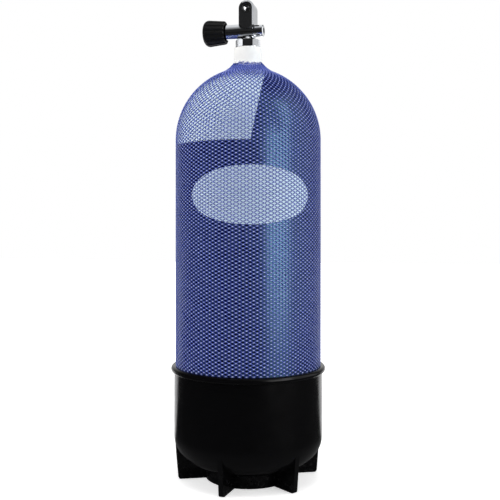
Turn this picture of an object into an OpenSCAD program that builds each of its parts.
// Scuba tank: a steel cylinder in a net sleeve, standing in a rubber boot, with an on/off valve.
// Millimetres, +Z up. The origin is on the floor, under the cylinder's axis.
// The valve's outlet faces -Y and its handwheel points to -X.

/* [Cylinder] */
// Outside diameter of the steel cylinder
cylinder_d = 204; // [200:1:208]
// Wall thickness of the steel
wall = 5.4; // [4.6:0.2:6.4]
// Height of the straight wall between the base and the shoulder
straight_h = 417; // [380:1:440]
// Height of the neck above the crown of the shoulder
neck_rise = 29.5; // [27:0.5:32]
// Outside diameter of the neck
neck_d = 40; // [39:1:44]
// Radius of the blend between the shoulder and the neck
neck_blend = 18; // [12:1:20]
// Bore of the neck thread
neck_bore_d = 25; // [24.8:0.1:25.2]

/* [Net] */
// Thickness of the net sleeve
net_t = 1.5; // [1.2:0.1:1.6]
// Length of neck left bare above the net
bare_neck = 21.5; // [20:0.5:24]
// Radius of the hollow that the net makes between the shoulder and the neck
net_dip_r = 40; // [30:1:60]
// Depth of net tucked inside the mouth of the boot
net_tuck = 15; // [10:1:25]

/* [Boot] */
// Height of the boot from the floor to its rim
boot_h = 159; // [150:1:170]
// Thickness of the boot's wall and floor
boot_t = 3.6; // [3.4:0.1:5]
// Height above the floor at which the straight wall of the cylinder starts
base_z = 61; // [60:1:64]
// Outside radius of the foot ring under the boot
foot_r = 61; // [56:1:66]
// Width of the foot ring
foot_w = 8; // [6:1:10]
// Number of fins that keep the tank from rolling
fins = 6; // [5:1:8]
// Thickness of a fin
fin_t = 7; // [5:0.5:9]
// Turn of the first fin from the outlet's direction, in degrees
fin_turn = -7; // [-30:1:30]
// Radius of the hole that drains the boot
drain_r = 14; // [8:1:18]

/* [Valve] */
// Height of the valve's cross barrel above the neck
barrel_rise = 25; // [24.5:0.1:26]
// Radius of the barrel
barrel_r = 10.8; // [10.8:0.1:11.2]
// Radius of the boss on the plugged side
boss_r = 8.4; // [8.2:0.1:9]
// Width of the outlet post
post_w = 22.5; // [22:0.1:24]
// Depth of the outlet post from its sealing face to its back
post_d = 26; // [25:0.1:27]
// Rounding of the post's back edges
post_round = 2.5; // [1.5:0.1:2.8]
// Height of the outlet above the barrel
outlet_rise = 31; // [30:0.5:34]
// Width of the eight-sided base across its flats
base_af = 34.7; // [33.5:0.1:34.8]

/* [Handwheel] */
// Largest radius of the grip
grip_r = 18.7; // [18.5:0.1:20]
// Number of finger grooves around the grip
grip_grooves = 16; // [12:1:18]
// Turns of the handwheel from shut to fully open
open_turns = 2.5; // [1.5:0.5:2.5]
// Lift of the seat carrier for one turn of the handwheel
lift_pitch = 1; // [0.8:0.05:1]

/* [Hidden] */
$fn = 96;

// Gaps: between pieces that are fitted together, between the net and the steel,
// and between pieces that turn or slide in each other
seat_gap = 0.05;
net_gap = 0.2;
turn_gap = 0.3;

// Cylinder: a round shoulder on top and a dished base made of a crown and a knuckle
cylinder_r = cylinder_d / 2;
neck_r = neck_d / 2;
neck_bore_r = neck_bore_d / 2;
shoulder_z = base_z + straight_h;
neck_top = shoulder_z + cylinder_r + neck_rise;
crown_r = 0.9 * cylinder_d;
knuckle_r = 0.17 * cylinder_d;
knuckle_x = cylinder_r - knuckle_r;
crown_z = base_z + sqrt(pow(crown_r - knuckle_r, 2) - pow(knuckle_x, 2));
blend_x = neck_r + neck_blend;
blend_z = shoulder_z + sqrt(pow(cylinder_r + neck_blend, 2) - pow(blend_x, 2));
neck_seat_r = 16.4;
neck_seat_h = 3.6;
neck_ring = [14.4, 1.75];

// Net: it lies on the steel and dips into the hollow between shoulder and neck.
// The boot presses the tucked end thinner towards its edge.
net_r = cylinder_r + net_gap + net_t;
net_rim_r = net_r - 0.5;
net_edge_r = net_r - 0.8;
net_top = neck_top - bare_neck;
net_bottom = boot_h - net_tuck;
net_neck_r = blend_x - sqrt(pow(neck_blend, 2) - pow(max(0, blend_z - net_top), 2)) + net_gap;
net_end = [net_neck_r, net_top - shoulder_z];
dip_reach = cylinder_r + net_gap + net_dip_r;
dip_turn = atan2(net_end.x, net_end.y)
    + acos((pow(dip_reach, 2) + net_end * net_end - pow(net_dip_r, 2)) / (2 * dip_reach * norm(net_end)));
net_dip = [dip_reach * sin(dip_turn), shoulder_z + dip_reach * cos(dip_turn)];

// Boot
boot_r = cylinder_r + boot_t;
boot_gap = 0.1;
bead_r = 4.4;
bead_x = boot_r;
mouth_r = net_rim_r + boot_gap;
mouth_h = net_tuck + 4;
fin_foot_r = cylinder_r - 2;
fin_top_r = cylinder_r + 2;
fin_top_z = base_z - 11;
fin_corner = 4;

// Valve body: heights, then places along the barrel
axis_z = neck_top + barrel_rise;
outlet_z = axis_z + outlet_rise;
post_z = axis_z + 10;
post_half = post_w / 2;
post_cut = [2.6, 2];
post_foot_h = 8;
post_foot_r = [barrel_r + 2, barrel_r + 7];
face_y = -post_d / 2;
shank_r = neck_bore_r - 0.2;
shank_h = 28;
shank_z = neck_top - shank_h;
flange_r = 18.9;
flange_h = 0.8;
base_sides = 8;
base_turn = 11;
base_h = 10.5;
base_top = neck_top + flange_h + base_h;
base_corner = base_af / 2 / cos(180 / base_sides);
base_turned_r = [base_corner + 8, base_corner - 1.2];
waist_r = [11.9, 7.6];
waist_h = 7.5;
inlet_r = 3;
tube_r = 3.5;
tube_bore_r = 2.4;
tube_socket = 8;
tube_h = 62;
recess_r = 7.2;
recess_h = 2.4;
outlet_ring = [6, 1.15];
funnel_r = 3.8;
funnel_h = 1.75;
port_r = 1;
port_end = face_y + 10;
gas_r = 1.8;
gas_start = [-8.2, 0, axis_z + 2];
gas_end = [0, port_end - 2.5, outlet_z];
dimple_r = [4.5, 0.6];
dimple_h = 3;
barrel_end = -24;
barrel_step = 9;
boss_end = 15;
seat_x = -7.5;
chamber_x = -6.5;
seat_lip_r = 3;
seat_bore_r = 1.9;
inner_r = 4.5;
inner_x = -4;
carrier_bore_r = 5.3;
bonnet_bore_r = 8.4;
bonnet_bore_x = -16.5;
bonnet_ring = [9.05, 0.65];
bonnet_ring_w = 1.4;
plug_bore_r = 6;
plug_bore_x = 8;
plug_head = 8;
plug_bevel = [1.6, 0.8];
plug_end = boss_end + plug_head;
plug_ring = [6.63, 0.6];
plug_ring_w = 1.3;
plug_key_af = 8;
plug_key_h = 4.5;

// Bonnet and stem
bonnet_end = -39;
bonnet_shoulder = -31;
bonnet_af = 17;
pocket_x = -24.1;
washer_t = 0.95;
collar_r = 6.9;
collar_x = [-23.1, -20.6];
pocket_r = collar_r + turn_gap;
stem_r = 3.9;
stem_hole_r = stem_r + turn_gap;
stem_ring = [3.4, 0.75];
stem_ring_w = 1.9;
stem_ring_x = [-28, -33];
blade_t = 2.6;
blade_w = 9;
blade_x = -14.2;
square_w = 5.6;
square_x = -41;
thread_x = -46.5;
thread_r = 2.5;
stem_end = -59.4;

// Seat carrier: the slot is deep enough for the blade when the carrier is fully lifted
lift = open_turns * lift_pitch;
carrier_r = 5.2;
carrier_x = [-17, -8.2];
slot_gap = 0.5;
slot_w = blade_t + slot_gap;
slot_x = blade_x + lift + slot_gap;
insert_r = 3.4;
insert_x = [-9.7, -7.6];

// Handwheel
wheel_x = [-65, -33];
core_r = 13.9;
core_x = [-62, -33.6];
web_x = [-47, square_x];
skirt_bore_r = 12.6;
nut_bore_r = 11;
grip_end_r = 16.2;
grip_corner = 8;
grip_edge = 1.5;
grip_taper = atan2(grip_r - grip_end_r, wheel_x[1] - wheel_x[0] - grip_corner);
groove_r = 2.6;
groove_h = 1.2;
groove_len = 60;
spring_r = 5.4;
spring_wire = 0.65;
spring_turns = 3;
spring_x = [-54, web_x[0]];
spring_washer_r = 7.6;
spring_washer_t = 1.1;
nut_af = 8;
nut_h = 3.5;
cap_r = 11.1;
cap_skirt = 3;
cap_skirt_t = 1.55;
cap_sink = 0.3;

// Keeps the side of an outline that a turned solid is made from
module right_half(size = 2400) {
    intersection() {
        children();
        translate([0, -size / 2]) square(size);
    }
}

// Lays a solid drawn along +Z on the barrel's axis, with +Z turned to +X
module on_barrel(x = 0) {
    translate([x, 0, axis_z]) rotate([0, 90, 0]) children();
}

// A round bar on the barrel's axis, between two places along it
module bar(r, x) {
    on_barrel(x[0]) cylinder(r = r, h = x[1] - x[0]);
}

// A tube on the barrel's axis
module sleeve(r, bore, x) {
    difference() {
        bar(r, x);
        bar(bore, [x[0] - 1, x[1] + 1]);
    }
}

// A hexagon bar on the barrel's axis, by its width across flats
module hex_bar(across, x) {
    on_barrel(x[0]) cylinder(r = across / sqrt(3), h = x[1] - x[0], $fn = 6);
}

// A square bar on the barrel's axis
module square_bar(w, h, x) {
    translate([x[0], -w / 2, axis_z - h / 2]) cube([x[1] - x[0], w, h]);
}

// A ring of round section, given as [mean radius, section radius]
module ring(size) {
    rotate_extrude() translate([size[0], 0]) circle(size[1], $fn = 32);
}

// Half outline of the vessel from base to shoulder, grown outwards from the steel
module vessel_outline(grow) {
    crown_end = (crown_r + grow) * knuckle_x / (crown_r - knuckle_r);
    right_half() {
        translate([0, base_z]) square([cylinder_r + grow, straight_h]);
        translate([0, shoulder_z]) circle(cylinder_r + grow);
        translate([knuckle_x, base_z]) circle(knuckle_r + grow);
        intersection() {
            translate([0, crown_z]) circle(crown_r + grow, $fn = 256);
            translate([0, base_z - crown_r]) square([crown_end, crown_r]);
        }
    }
}

// Half outline of the neck with the blend that runs it into the shoulder
module neck_outline() {
    translate([0, shoulder_z]) square([neck_r, neck_top - shoulder_z]);
    difference() {
        polygon([[0, shoulder_z], [blend_x, blend_z], [0, blend_z]]);
        translate([blend_x, blend_z]) circle(neck_blend);
    }
}

// Half outline of the net's skin, grown outwards from the steel: wall, shoulder and dip to the neck
module net_outline(grow) {
    r = cylinder_r + grow;
    translate([0, net_bottom]) square([r, shoulder_z - net_bottom]);
    intersection() {
        translate([0, shoulder_z]) circle(r);
        translate([0, shoulder_z]) square(r);
    }
    difference() {
        polygon([[0, shoulder_z], net_dip, [0, net_dip.y]]);
        translate(net_dip) circle(net_dip_r + net_gap - grow);
        translate([0, net_top]) square(net_dip_r);
    }
}

// Steel pressure vessel with its threaded neck
module steel_cylinder() {
    color("midnightblue") rotate_extrude($fn = 180) difference() {
        union() {
            vessel_outline(0);
            neck_outline();
        }
        vessel_outline(-wall);
        translate([0, shoulder_z]) square([neck_bore_r, neck_top - shoulder_z + 1]);
        translate([0, neck_top - neck_seat_h]) square([neck_seat_r, neck_seat_h + 1]);
    }
}

// Net sleeve, as the closed skin that its strands lie in
module net() {
    color("slateblue") rotate_extrude($fn = 180) difference() {
        net_outline(net_gap + net_t);
        net_outline(net_gap);
        polygon([[net_edge_r, net_bottom],
                 [net_r + 1, net_bottom],
                 [net_r + 1, boot_h + 1],
                 [net_rim_r, boot_h + 1]]);
    }
}

// One fin in its own plane: a plate with a sloping edge and a round foot corner
module fin() {
    rotate([90, 0, 0]) translate([0, 0, -fin_t / 2]) linear_extrude(fin_t) {
        polygon([[foot_r - foot_w / 2, 0],
                 [fin_foot_r - fin_corner, 0],
                 [fin_foot_r, fin_corner],
                 [fin_top_r, fin_top_z],
                 [foot_r - foot_w / 2, fin_top_z]]);
        translate([fin_foot_r - fin_corner, fin_corner]) circle(fin_corner);
    }
}

// Outside of the boot: a dished cup with a bead on its rim and a foot ring under it
module boot_outline() {
    intersection() {
        vessel_outline(boot_t);
        square([boot_r, boot_h - bead_r]);
    }
    translate([0, boot_h - 2 * bead_r]) square([bead_x, 2 * bead_r]);
    translate([bead_x, boot_h - bead_r]) circle(bead_r);
    translate([foot_r - foot_w, 0]) square([foot_w, base_z / 2]);
}

// Inside of the boot: the vessel's own shape, widened at the mouth for the net
module boot_hollow() {
    intersection() {
        vessel_outline(boot_gap);
        square([boot_r, boot_h - mouth_h + 1]);
    }
    translate([0, boot_h - mouth_h]) square([mouth_r, mouth_h + 1]);
}

// Rubber boot with its fins and its drain
module boot() {
    color([0.06, 0.06, 0.065]) difference() {
        union() {
            rotate_extrude($fn = 180) boot_outline();
            for (i = [0 : fins - 1])
                rotate(fin_turn - 90 + i * 360 / fins) fin();
        }
        rotate_extrude($fn = 180) boot_hollow();
        translate([0, 0, -1]) cylinder(r = drain_r, h = base_z);
    }
}

// Section of the outlet post, a rectangle with its front corners cut off and its back corners round
module post_section() {
    back = post_d / 2 - post_round;
    polygon([[post_cut.x - post_half, face_y],
             [post_half - post_cut.x, face_y],
             [post_half, face_y + post_cut.y],
             [post_half, back],
             [-post_half, back],
             [-post_half, face_y + post_cut.y]]);
    translate([post_round - post_half, 0]) square([post_w - 2 * post_round, post_d / 2]);
    for (x = [-1, 1])
        translate([x * (post_half - post_round), back]) circle(post_round);
}

// Outlet post: a foot cut to a cone, a straight shaft and a half-round head
module post() {
    intersection() {
        translate([0, 0, post_z - post_foot_h]) linear_extrude(post_foot_h) post_section();
        translate([0, 0, post_z - post_foot_h])
            cylinder(r1 = post_foot_r[0], r2 = post_foot_r[1], h = post_foot_h + 0.01);
    }
    translate([0, 0, post_z]) linear_extrude(outlet_z - post_z) post_section();
    translate([0, 0, outlet_z]) rotate([90, 0, 0])
        rotate_extrude(angle = 180) right_half() mirror([0, 1]) post_section();
}

// Eight-sided base for a wrench, with its top corners turned off
module base() {
    translate([0, 0, neck_top + flange_h]) intersection() {
        rotate(180 / base_sides + base_turn) cylinder(r = base_corner, h = base_h, $fn = base_sides);
        cylinder(r1 = base_turned_r[0], r2 = base_turned_r[1], h = base_h);
    }
}

// Outside of the valve body
module valve_forging() {
    translate([0, 0, shank_z]) cylinder(r = shank_r, h = shank_h);
    translate([0, 0, neck_top]) cylinder(r = flange_r, h = flange_h);
    base();
    translate([0, 0, base_top]) cylinder(r1 = waist_r[0], r2 = waist_r[1], h = waist_h);
    translate([0, 0, base_top]) cylinder(r = waist_r[1], h = axis_z - base_top);
    bar(barrel_r, [barrel_end, barrel_step]);
    bar(boss_r, [barrel_step, boss_end]);
    post();
}

// Ways through the valve body: inlet, seat, outlet and the bores for tube, bonnet and plug
module valve_ways() {
    translate([0, 0, shank_z - 1]) cylinder(r = inlet_r, h = axis_z - shank_z + 1);
    translate([0, 0, shank_z - 1]) cylinder(r = tube_r + seat_gap, h = tube_socket + 1);
    bar(bonnet_bore_r + bonnet_ring_w, [barrel_end - 1, barrel_end + bonnet_ring_w]);
    bar(bonnet_bore_r, [barrel_end - 1, bonnet_bore_x]);
    bar(carrier_bore_r, [bonnet_bore_x - 1, seat_x]);
    sleeve(carrier_bore_r, seat_lip_r, [seat_x - 0.1, chamber_x]);
    bar(seat_bore_r, [seat_x - 1, inner_x + 1]);
    bar(inner_r, [inner_x, boss_end + 1]);
    bar(plug_bore_r, [plug_bore_x, boss_end + 1]);
    bar(plug_bore_r + plug_ring_w, [boss_end - plug_ring_w, boss_end + 1]);
    outlet_ways();
}

// Outlet: a recess for the ring, a funnel into the port, the gas way up to it,
// and the cone on the back that a yoke's screw centres in
module outlet_ways() {
    gas_run = gas_end - gas_start;
    translate([0, face_y - 1, outlet_z]) rotate([-90, 0, 0]) cylinder(r = recess_r, h = recess_h + 1);
    translate([0, face_y + recess_h, outlet_z]) rotate([-90, 0, 0])
        cylinder(r1 = funnel_r, r2 = port_r, h = funnel_h);
    translate([0, face_y, outlet_z]) rotate([-90, 0, 0]) cylinder(r = port_r, h = port_end - face_y);
    translate(gas_start)
        rotate([0, atan2(norm([gas_run.x, gas_run.y]), gas_run.z), atan2(gas_run.y, gas_run.x)])
        cylinder(r = gas_r, h = norm(gas_run), $fn = 32);
    translate([0, -face_y, outlet_z]) rotate([90, 0, 0])
        cylinder(r1 = dimple_r[0], r2 = dimple_r[1], h = dimple_h);
}

// Chromed brass valve body
module valve_body() {
    color("silver") difference() {
        valve_forging();
        valve_ways();
    }
}

// Ring that seals the valve to the neck
module neck_oring() {
    color("dimgray") translate([0, 0, neck_top - neck_seat_h + neck_ring[1]]) ring(neck_ring);
}

// Tube that keeps dirt and water out of the valve when the tank is upside down
module dip_tube() {
    color("gainsboro") translate([0, 0, shank_z + tube_socket - tube_h]) difference() {
        cylinder(r = tube_r, h = tube_h);
        translate([0, 0, -1]) cylinder(r = tube_bore_r, h = tube_h + 2);
    }
}

// Ring in the outlet's recess
module outlet_oring() {
    color("dimgray") translate([0, face_y + recess_h - outlet_ring[1], outlet_z])
        rotate([90, 0, 0]) ring(outlet_ring);
}

// Gland nut that holds the stem in the barrel
module bonnet() {
    color("silver") difference() {
        union() {
            bar(bonnet_bore_r - seat_gap, [barrel_end, bonnet_bore_x - turn_gap]);
            bar(barrel_r, [bonnet_shoulder, barrel_end]);
            hex_bar(bonnet_af, [bonnet_end, bonnet_shoulder]);
        }
        bar(pocket_r, [pocket_x, bonnet_bore_x]);
        bar(stem_hole_r, [bonnet_end - 1, bonnet_bore_x]);
    }
}

// Ring that seals the bonnet to the barrel
module bonnet_oring() {
    color("dimgray") on_barrel(barrel_end + bonnet_ring[1]) ring(bonnet_ring);
}

// Slip washer that the stem's collar thrusts against
module thrust_washer() {
    color("white") sleeve(collar_r, stem_hole_r, [pocket_x, pocket_x + washer_t]);
}

// Plug that closes the unused port
module blanking_plug() {
    color("silver") difference() {
        union() {
            bar(plug_bore_r - seat_gap, [plug_bore_x + turn_gap, boss_end]);
            bar(boss_r, [boss_end, plug_end - plug_bevel.y]);
            on_barrel(plug_end - plug_bevel.y)
                cylinder(r1 = boss_r, r2 = boss_r - plug_bevel.x, h = plug_bevel.y);
        }
        hex_bar(plug_key_af, [plug_end - plug_key_h, plug_end + 1]);
    }
}

// Ring under the plug's head
module plug_oring() {
    color("dimgray") on_barrel(boss_end - plug_ring[1]) ring(plug_ring);
}

// Stem: a blade that turns the carrier, a thrust collar, a sealed shaft, a square and a thread
module stem() {
    color("goldenrod") difference() {
        union() {
            square_bar(blade_w, blade_t, [collar_x[1], blade_x]);
            bar(collar_r, collar_x);
            bar(stem_r, [square_x, collar_x[0]]);
            square_bar(square_w, square_w, [thread_x, square_x]);
            bar(thread_r, [stem_end, thread_x]);
        }
        for (x = stem_ring_x)
            sleeve(stem_r + 1, stem_ring[0] - stem_ring[1] - seat_gap,
                   [x - stem_ring_w / 2, x + stem_ring_w / 2]);
    }
}

// Two rings in the stem's grooves
module stem_orings() {
    color("dimgray") for (x = stem_ring_x)
        on_barrel(x) ring(stem_ring);
}

// Hard core of the handwheel: a skirt over the bonnet, a web with a square hole, and a cup for the nut
module handwheel_core() {
    color([0.2, 0.2, 0.21]) difference() {
        bar(core_r, core_x);
        bar(skirt_bore_r, [web_x[1], core_x[1] + 1]);
        bar(nut_bore_r, [core_x[0] - 1, web_x[0]]);
        square_bar(square_w + 2 * seat_gap, square_w + 2 * seat_gap, [web_x[0] - 1, web_x[1] + 1]);
    }
}

// Half outline of the grip: a round outer end that runs into a side tapering towards the valve
module grip_outline() {
    lean = [cos(grip_taper), sin(grip_taper)];
    corner = [grip_r - grip_corner, wheel_x[0] + grip_corner];
    start = corner + grip_corner * lean;
    edge_x = wheel_x[1] - grip_edge;
    edge = [start.x - (edge_x - start.y) * tan(grip_taper) - grip_edge, edge_x];
    translate(corner) circle(grip_corner);
    translate(edge) circle(grip_edge);
    polygon([[0, wheel_x[0]],
             [corner.x, wheel_x[0]],
             corner,
             start,
             edge + grip_edge * lean,
             edge,
             [edge.x, wheel_x[1]],
             [0, wheel_x[1]]]);
}

// Rubber grip with finger grooves that follow its taper
module handwheel_grip() {
    color([0.1, 0.1, 0.105]) difference() {
        on_barrel() rotate_extrude() grip_outline();
        bar(core_r + seat_gap, [core_x[0], wheel_x[1] + 1]);
        bar(cap_r + seat_gap, [wheel_x[0] - 1, core_x[0] + 1]);
        on_barrel() for (i = [0 : grip_grooves - 1])
            rotate(i * 360 / grip_grooves)
                translate([grip_r + groove_r - groove_h, 0, wheel_x[0] + grip_corner])
                rotate([0, -grip_taper, 0])
                translate([0, 0, -groove_len / 2]) cylinder(r = groove_r, h = 1.5 * groove_len, $fn = 32);
    }
}

// Coil spring that presses the handwheel onto the stem: one wire swept along a helix
module handwheel_spring() {
    steps = 24 * spring_turns;
    sides = 8;
    run = spring_x[1] - spring_x[0] - 2 * spring_wire - 2 * seat_gap;
    function at(i, j) = let (
        turn = 360 * spring_turns * i / steps,
        round = 360 * j / sides,
        r = spring_r + spring_wire * cos(round)
    ) [r * cos(turn), r * sin(turn), spring_wire * sin(round) + run * i / steps];
    points = [for (i = [0 : steps], j = [0 : sides - 1]) at(i, j)];
    side_faces = [for (i = [0 : steps - 1], j = [0 : sides - 1], half = [0, 1]) let (
        a = i * sides + j,
        b = i * sides + (j + 1) % sides
    ) half == 0 ? [a, b, b + sides] : [a, b + sides, a + sides]];
    end_faces = [for (j = [1 : sides - 2], end = [0, 1]) let (first = end * steps * sides)
        end == 0 ? [first, first + j + 1, first + j] : [first, first + j, first + j + 1]];
    color("lightsteelblue") on_barrel(spring_x[0] + spring_wire + seat_gap)
        polyhedron(points, concat(side_faces, end_faces));
    echo(spring_least_gap = run / spring_turns - 2 * spring_wire);
}

// Washer between the spring and the nut
module spring_washer() {
    color("silver")
        sleeve(spring_washer_r, thread_r + turn_gap, [spring_x[0] - spring_washer_t, spring_x[0]]);
}

// Nut on the stem's thread
module handwheel_nut() {
    end = spring_x[0] - spring_washer_t;
    color("silver") difference() {
        hex_bar(nut_af, [end - nut_h, end]);
        bar(thread_r + seat_gap, [end - nut_h - 1, end + 1]);
    }
}

// Cap that closes the outer end of the handwheel
module handwheel_cap() {
    color([0.15, 0.15, 0.16]) {
        bar(cap_r, [wheel_x[0] + cap_sink, core_x[0]]);
        sleeve(nut_bore_r - seat_gap, nut_bore_r - seat_gap - cap_skirt_t,
               [core_x[0], core_x[0] + cap_skirt]);
    }
}

// Carrier that the stem's blade turns, with a slot for the blade and a seat for the insert
module seat_carrier() {
    color("goldenrod") difference() {
        bar(carrier_r, carrier_x);
        square_bar(2 * carrier_r + 1, slot_w, [carrier_x[0] - 1, slot_x]);
        bar(insert_r + seat_gap, [insert_x[0], carrier_x[1] + 1]);
    }
}

// Soft insert that shuts against the seat
module seat_insert() {
    color("white") bar(insert_r, insert_x);
}

steel_cylinder();
net();
boot();
valve_body();
neck_oring();
dip_tube();
outlet_oring();
bonnet();
bonnet_oring();
thrust_washer();
blanking_plug();
plug_oring();
stem();
stem_orings();
handwheel_core();
handwheel_grip();
handwheel_spring();
spring_washer();
handwheel_nut();
handwheel_cap();
seat_carrier();
seat_insert();
